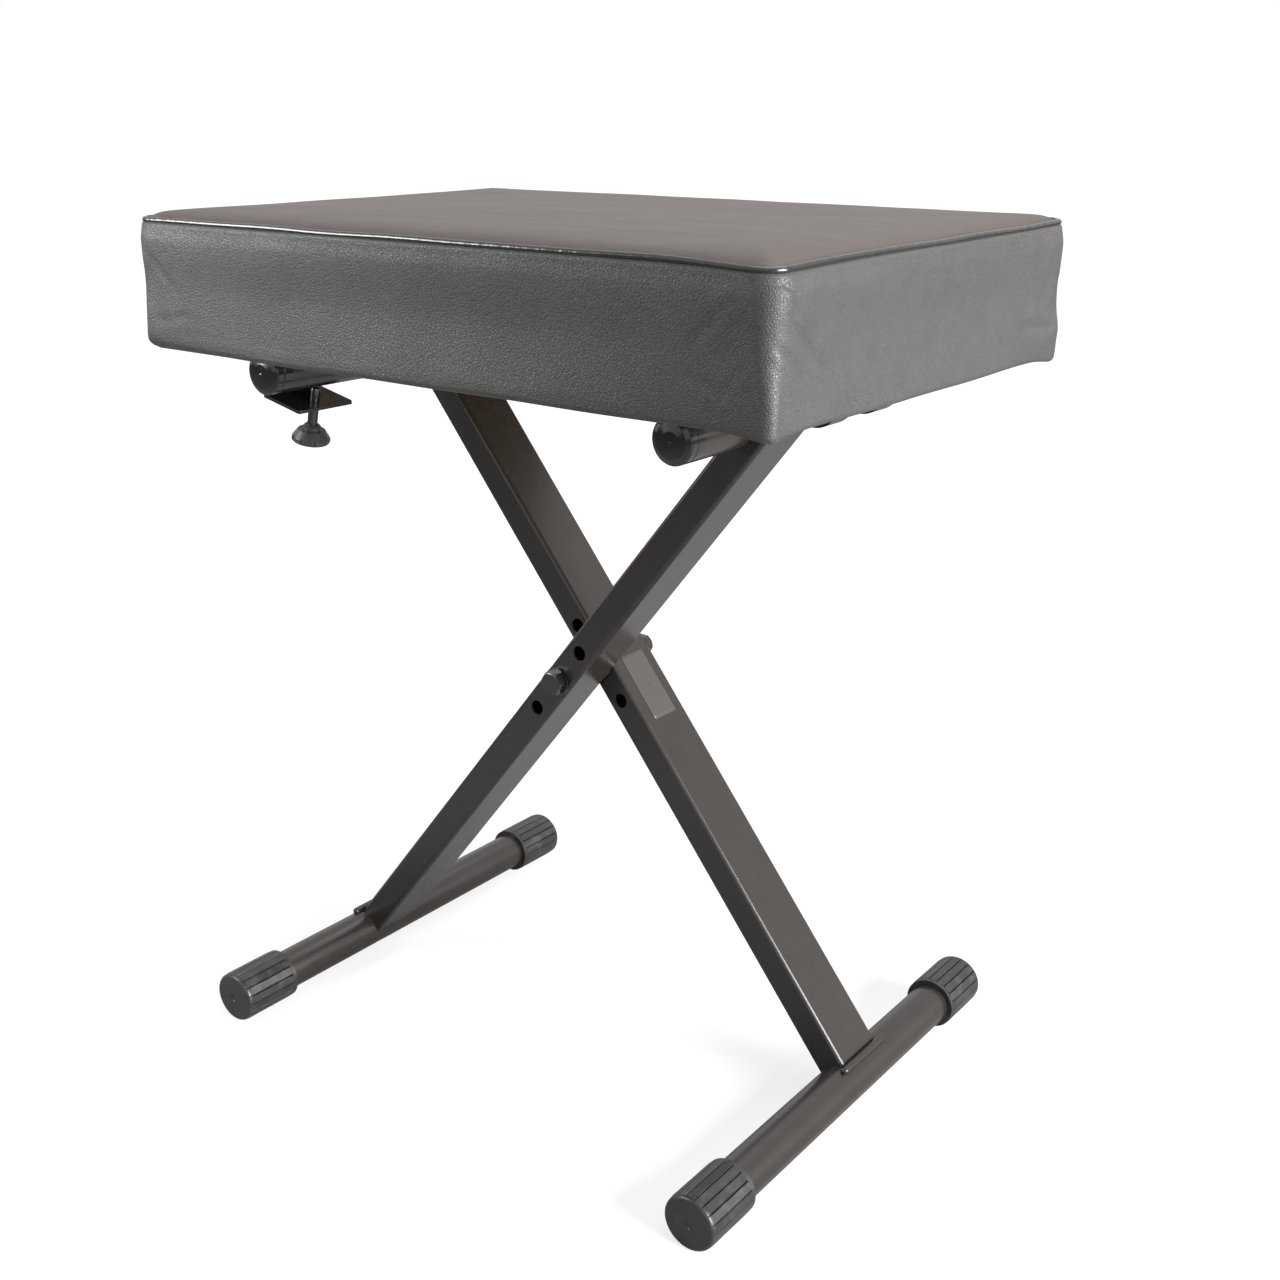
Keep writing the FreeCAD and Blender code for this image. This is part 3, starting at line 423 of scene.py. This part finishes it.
def seam_height(x, y):
    """How far the seam lies above a level line: it sags towards the near right
    corner, where a sitter's weight has settled, and rides up along the far side."""
    sag = bell(x - 213.0, 34.0) * bell(y + 149.0, 60.0)
    return 1.7 * np.clip((y + 60) / 209, 0, 1) ** 2 - 1.6 * sag


def side_band(finish):
    """The boxed side. A profile of inset against height is carried round the
    rounded rectangle: it turns in under the board, rounds the lower edge, draws
    in at half height and swells under the piping. Folds are added outwards."""
    lower = np.array([[20.0, SIDE_LOW], [14.0, SIDE_LOW], [9.0, SIDE_LOW], [5.6, SIDE_LOW]])
    turn = np.linspace(-math.pi / 2, 0, 9)
    edge = np.stack([3.6 - 2.4 * np.cos(turn), SIDE_LOW + 2.4 + 2.4 * np.sin(turn)], -1)
    height = np.linspace(SIDE_LOW + 4.0, SIDE_HIGH - 1.6, 52)
    inset = smooth_steps([(434.0, 1.2), (437.0, 1.0), (463.0, 1.25), (491.0, 0.0),
                          (499.3, 0.6)], height)
    roll = np.linspace(0, math.pi / 2, 7)[1:]
    upper = np.stack([0.6 + 2.4 * (1 - np.cos(roll)), SIDE_HIGH - 1.6 + 1.6 * np.sin(roll)], -1)
    profile = np.concatenate([lower, edge, np.stack([inset, height], -1), upper])
    inset, height = profile[:, 0], profile[:, 1]
    share = np.clip((height - SIDE_LOW) / (SIDE_HIGH - SIDE_LOW), 0, 1)
    radius = np.maximum(LOW_CORNER + (HIGH_CORNER - LOW_CORNER) * share - inset * 0.5, 1.5)
    draw_in = 1.7 * np.sin(share * math.pi) ** 0.8
    plan = SEAT.points(inset, radius, draw_in)
    grid = np.concatenate([plan, np.broadcast_to(height[:, None, None], plan.shape[:2] + (1,))],
                          -1)
    push = side_folds(grid, share[:, None])
    grid[..., :2] += push[..., None] * SEAT.outward[None]
    lift = np.clip(share - 0.35, 0, 1) / 0.65
    grid[..., 2] += (hem_wave(grid, share[:, None])
                     + seam_height(grid[..., 0], grid[..., 1]) * lift[:, None])
    made = surface("side_band", grid[::-1], "seat", finish)
    shell(made, 1.1)
    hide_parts("cover_side_band")
    return made


def side_folds(grid, share):
    """How far the side stands out at each point, in millimetres."""
    x, y, z = grid[..., 0], grid[..., 1], grid[..., 2]
    around, _ = SEAT.run()
    around = np.broadcast_to(around[None], x.shape)
    free = np.clip(share * 8, 0, 1) * np.clip((1 - share) * 9, 0, 1)
    push = 0.24 * ripple(around, z * 1.3, 4, 9, 70.0) * free
    near_corner = np.zeros_like(x)
    for sign_x in (-1, 1):
        for sign_y in (-1, 1):
            apart = np.hypot(x - sign_x * 207, y - sign_y * 143)
            near_corner += bell(apart, 30.0)
    push += near_corner * free * 0.16 * np.sin(around / 3.3 + 1.5 * np.sin(z / 9))
    push += near_corner * 0.6 * np.clip((share - 0.62) * 4, 0, 1) * free
    right, front = bell(x - 212, 9.0), bell(y + 148, 9.0)
    left, back = bell(x + 212, 9.0), bell(y - 148, 9.0)
    push += right * (crease(y, z, (-140, 483), (-99, 451), 1.3, 1.15)
                     + crease(y, z, (-104, 456), (-76, 433), 1.5, 0.95)
                     + crease(y, z, (-146, 471), (-110, 446), 2.2, 0.9)
                     + crease(y, z, (-143, 497), (-134, 491), 1.5, 0.9)
                     + crease(y, z, (100, 452), (140, 447), 3.0, 0.8)
                     + crease(y, z, (118, 490), (142, 470), 2.4, 0.6))
    push += 1.3 * right * bell(y - 144, 8.0) * bell(z - 446, 8.0)
    push += 0.3 * front * (crease(x, z, (-206, 489), (-180, 463), 2.6, 0.8)
                     + crease(x, z, (-202, 446), (-168, 452), 2.8, 0.6)
                     + crease(x, z, (194, 490), (170, 466), 2.6, 0.9)
                     + crease(x, z, (200, 462), (182, 440), 1.8, 0.8)
                     + crease(x, z, (196, 446), (162, 455), 3.0, 0.6))
    push += 0.35 * left * (crease(y, z, (-136, 486), (-104, 458), 2.4, 0.9)
                    + crease(y, z, (132, 482), (96, 455), 2.6, 0.8))
    push += 0.35 * back * (crease(x, z, (200, 486), (168, 456), 2.4, 0.8)
                    + crease(x, z, (-200, 484), (-160, 452), 2.8, 0.8))
    return push


def hem_wave(grid, share):
    """The lower edge isn't pulled equally tight: it is lifted at the near left
    corner, hangs lower at both right corners, where the cover is gathered, and
    rises a little between the staples."""
    x, y = grid[..., 0], grid[..., 1]
    around, _ = SEAT.run()
    low = np.clip(1 - share * 7, 0, 1) * (np.abs(grid[..., 2] - SIDE_LOW) < 14)
    outer = np.clip((np.maximum(np.abs(x) / 213.5, np.abs(y) / 149.5) - 0.965) / 0.025, 0, 1)
    wave = 0.35 + 0.35 * np.sin(around[None] / 15.5) + 0.3 * np.sin(around[None] / 37 + 1)
    lifted = 2.9 * bell(x + 213, 60.0) * bell(y + 149, 40.0)
    near_tip = 2.3 * bell(x - 211, 15.0) * bell(y + 148, 15.0)
    right_tip = 2.8 * bell(x - 213, 17.0) * bell(y - 147, 17.0)
    tight = 0.9 * bell(x - 213, 12.0)
    return low * outer * (lifted + wave * 0.6 - near_tip - right_tip - tight)


def shell(made, thickness):
    """Gives a skin its thickness, inwards."""
    solid = made.modifiers.new("thickness", "SOLIDIFY")
    solid.thickness = thickness * MM
    solid.offset = -1.0
    solid.use_quality_normals = True


def top_panel(finish):
    """The crowned top. A square grid is stretched over the rounded rectangle,
    and its height rises steeply inside the piping, then gently to the middle:
    it falls short of the crown by two exponentials of the distance from the
    edge, one short and one long."""
    inset, radius = 2.6, 10.4
    half_x, half_y = SEAT.half - inset
    u, v = np.meshgrid(np.linspace(-1, 1, 241), np.linspace(-1, 1, 171))
    ring = np.maximum(np.abs(u), np.abs(v)) + 1e-9
    edge_u, edge_v = u / ring, v / ring
    x, y = edge_u * half_x, edge_v * half_y
    over = np.minimum(rounded_scale(x, y, half_x, half_y, radius), 1.0)
    scale = 1 - (1 - over) * ring ** 5
    x, y = u * half_x * scale, v * half_y * scale
    inside = np.maximum(edge_distance(x, y, half_x, half_y, radius), 0)
    fallen = 0.55 * np.exp(-inside / 5) + 0.45 * np.exp(-inside / 28)
    z = 509.1 - 7.0 * fallen + seam_height(x, y) * np.exp(-inside / 45)
    z += 0.22 * ripple(x, y, 9, 8, 95.0) * np.clip(inside / 25, 0, 1)
    z += 0.14 * np.sin((x + y * 0.3) / 6.5) * bell(inside - 5, 6.0)
    grid = np.stack([x, y, z], -1)
    made = surface("top_panel", grid, "seat", finish, closed_columns=False)
    shell(made, 1.1)
    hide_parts("cover_top_panel", "seat_foam")
    return made


def rounded_scale(x, y, half_x, half_y, radius):
    """The share of the way from the middle to a rectangle's edge point at which
    the same rectangle with rounded corners is met."""
    cx, cy = half_x - radius, half_y - radius
    ax, ay = np.abs(x), np.abs(y)
    a = ax ** 2 + ay ** 2
    b = -2 * (ax * cx + ay * cy)
    c = cx ** 2 + cy ** 2 - radius ** 2
    root = np.sqrt(np.maximum(b * b - 4 * a * c, 0))
    hit = (-b + root) / (2 * a)
    corner = (ax * hit > cx) & (ay * hit > cy)
    return np.where(corner, hit, 1.0)


def edge_distance(x, y, half_x, half_y, radius):
    """Distance inwards from a rounded rectangle's edge."""
    qx, qy = np.abs(x) - (half_x - radius), np.abs(y) - (half_y - radius)
    outside = np.hypot(np.maximum(qx, 0), np.maximum(qy, 0))
    return radius - outside - np.minimum(np.maximum(qx, qy), 0)


def piping(finish):
    """The piping: a circle carried round the rounded rectangle, a little uneven
    in height and thickness where its stitches pull."""
    plan = SEAT.points(1.6, HIGH_CORNER - 1.6)[0]
    around, length = SEAT.run()
    height = PIPING_HEIGHT + 0.16 * np.sin(around * 2 * math.pi * 11 / length)
    height += 0.12 * np.sin(around * 2 * math.pi * 17 / length + 2)
    height += seam_height(plan[:, 0], plan[:, 1])
    radius = PIPING_RADIUS * (1 + 0.03 * np.sin(around * 2 * math.pi * 140 / length))
    turn = np.linspace(0, 2 * math.pi, 17)[:-1, None]
    out = (radius * np.cos(turn))[..., None] * SEAT.outward[None]
    xy = plan[None] + out
    z = height[None] + radius[None] * np.sin(turn)
    grid = np.concatenate([xy, z[..., None]], -1)
    made = surface("piping", grid[::-1], "seat", finish, closed_rows=True)
    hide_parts("cover_piping")
    return made


def piping_flange(finish):
    """The piping's sewn flange: a thin strip that fills the joint between the
    side band and the top panel, just under the round of the piping."""
    profile = np.array([[1.5, 499.9], [3.2, 500.2], [4.6, 500.8], [4.6, 501.8],
                        [3.2, 502.2], [1.9, 501.4]])
    plan = SEAT.points(profile[:, 0], HIGH_CORNER - profile[:, 0])
    height = (profile[:, 1][:, None] + seam_height(plan[..., 0], plan[..., 1]))[..., None]
    grid = np.concatenate([plan, height], -1)
    return surface("piping_flange", grid[::-1], "seat", finish, closed_rows=True)


# Label.

PIVOT_HEIGHT, FOOT_HEIGHT, FOOT_DISTANCE = 241.4, 16.0, 180.0
LEG_MIDDLE, LEG_HALF_DEPTH = 19.7, 9.5
LABEL_DOWN = 25.0

def blank_label(finish):
    """A blank label on the rear leg's upper face: a rounded rectangle 21 by 44 mm
    and 0.2 mm thick, its long side along the leg."""
    lean = math.atan2(PIVOT_HEIGHT - FOOT_HEIGHT, FOOT_DISTANCE)
    along = np.array([math.cos(lean), 0.0, -math.sin(lean)])
    normal = np.array([math.sin(lean), 0.0, math.cos(lean)])
    centre = (np.array([0.0, LEG_MIDDLE, PIVOT_HEIGHT]) + along * LABEL_DOWN
              + normal * LEG_HALF_DEPTH)
    half, radius = np.array([22.0, 10.5]), 1.6
    turn = np.linspace(0, 2 * math.pi, 49)[:-1]
    corner = np.stack([np.sign(np.cos(turn) + 1e-9), np.sign(np.sin(turn) + 1e-9)], -1)
    plan = corner * (half - radius) + radius * np.stack([np.cos(turn), np.sin(turn)], -1)
    shares = np.array([0.02, 0.5, 0.9, 1.0, 1.0])
    lifts = np.array([0.20, 0.20, 0.20, 0.17, 0.01])
    flat = plan[None] * shares[:, None, None]
    grid = (centre + flat[..., :1] * along + flat[..., 1:] * np.array([0, 1.0, 0])
            + lifts[:, None, None] * normal)
    return surface("blank_label", grid, "rear_frame", finish)


# Setting.

def studio():
    """A white floor and backdrop colour with soft light from both sides."""
    world = bpy.data.worlds.new("studio")
    bpy.context.scene.world = world
    world.use_nodes = True
    tree = world.node_tree
    background = tree.nodes["Background"]
    path = tree.nodes.new("ShaderNodeLightPath")
    shown = tree.nodes.new("ShaderNodeMath")
    shown.operation = "MAXIMUM"
    tree.links.new(path.outputs["Is Camera Ray"], shown.inputs[0])
    tree.links.new(path.outputs["Is Glossy Ray"], shown.inputs[1])
    level = tree.nodes.new("ShaderNodeMapRange")
    tree.links.new(shown.outputs[0], level.inputs["Value"])
    level.inputs["To Min"].default_value = 0.16
    level.inputs["To Max"].default_value = 1.0
    tree.links.new(level.outputs[0], background.inputs["Strength"])
    background.inputs["Color"].default_value = (1.0, 1.0, 1.0, 1.0)

    points = np.array([[-9, -9, 0], [9, -9, 0], [9, 9, 0], [-9, 9, 0]], float)
    mesh = bpy.data.meshes.new("floor")
    mesh.from_pydata(points.tolist(), [], [(0, 1, 2, 3)])
    floor = bpy.data.objects.new("floor", mesh)
    bpy.context.collection.objects.link(floor)
    floor_paint = Finish("floor_paper", (0.42, 0.42, 0.42), 0.9, specular_ior_level=0.0)
    seen = floor_paint.node("ShaderNodeLightPath", output=0)
    away = floor_paint.node("ShaderNodeVectorMath", {"operation": "LENGTH"},
                            {0: floor_paint.place}, 1)
    glow = seen * (0.68 + away.above(0.45, 1.5) * 0.32)
    floor_paint.put("Emission Color", floor_paint.blend(glow, (0.0, 0.0, 0.0), (1.0, 1.0, 1.0)))
    floor_paint.put("Emission Strength", 1.0)
    mesh.materials.append(floor_paint.material)

    lamp("left_window", (-0.50, -0.52, 0.60), (-0.16, -0.12, 0.46), 0.30, 0.32, 4.4)
    lamp("right_window", (2.1, 0.1, 0.7), (0.1, 0.0, 0.40), 1.4, 1.2, 130.0)
    lamp("ceiling", (0.2, 0.5, 2.4), (0.0, 0.0, 0.4), 2.0, 2.0, 28.0)


def lamp(name, at, towards, width, height, power):
    data = bpy.data.lights.new(name, "AREA")
    data.shape = "RECTANGLE"
    data.size, data.size_y = width, height
    data.energy = power
    made = bpy.data.objects.new(name, data)
    start, end = np.array(at), np.array(towards)
    back = (start - end) / np.linalg.norm(start - end)
    side = np.cross([0, 0, 1.0], back)
    side /= np.linalg.norm(side)
    up = np.cross(back, side)
    turn = Matrix([[side[i], up[i], back[i], start[i]] for i in range(3)] + [[0, 0, 0, 1]])
    made.matrix_world = turn
    bpy.context.collection.objects.link(made)


def dress(names, finish):
    """Gives CAD nodes their finish."""
    for name in names:
        node = NODES[name]
        if not node.material_slots:
            node.data.materials.append(finish)
        for place in node.material_slots:
            place.material = finish


def dress_nodes():
    frame_coat = powder_coat("frame_coat", (0.015, 0.012, 0.0105), 0.27)
    dress(["front_leg", "front_foot_tube", "front_foot_weld", "hinge_tube",
           "hinge_tube_weld", "rear_leg", "rear_foot_tube", "rear_foot_weld", "rest_tube",
           "rest_tube_weld"], frame_coat)
    dress(["hinge_strap_near", "hinge_strap_far", "clamp_bracket"],
          powder_coat("bracket_coat", (0.011, 0.010, 0.0095), 0.22))
    rubber = foot_rubber()
    dress(["front_foot_cap_left", "front_foot_cap_right", "rear_foot_cap_left",
           "rear_foot_cap_right"], rubber)
    dress(["hinge_tube_plug_left", "hinge_tube_plug_right", "rest_tube_plug_left",
           "rest_tube_plug_right"], plug_plastic())
    dress(["pivot_bolt", "pivot_washer_front", "pivot_washer_rear", "pivot_lock_nut",
           "strap_screws", "rest_block_screws", "clamp_bracket_screws", "clamp_weld_nut",
           "clamp_screw"], plated_steel("black_zinc", (0.10, 0.096, 0.092), 0.24))
    dress(["tee_nuts", "cover_staples"],
          plated_steel("bright_zinc", (0.42, 0.41, 0.39), 0.30))
    dress(["pivot_spacer", "hinge_block_near", "hinge_block_far", "hinge_rest_block"],
          moulded_nylon("black_nylon", (0.018, 0.018, 0.018), 0.48))
    dress(["clamp_knob"], moulded_nylon("knob_plastic", (0.030, 0.028, 0.026), 0.38))
    dress(["seat_board"], plywood())


bpy.context.scene.view_settings.view_transform = "Standard"
place_camera()
studio()
dress_nodes()
side_finish = side_leatherette()
side_band(side_finish)
top_panel(top_leatherette())
vinyl = piping_vinyl()
piping(vinyl)
piping_flange(vinyl)
blank_label(label_film())
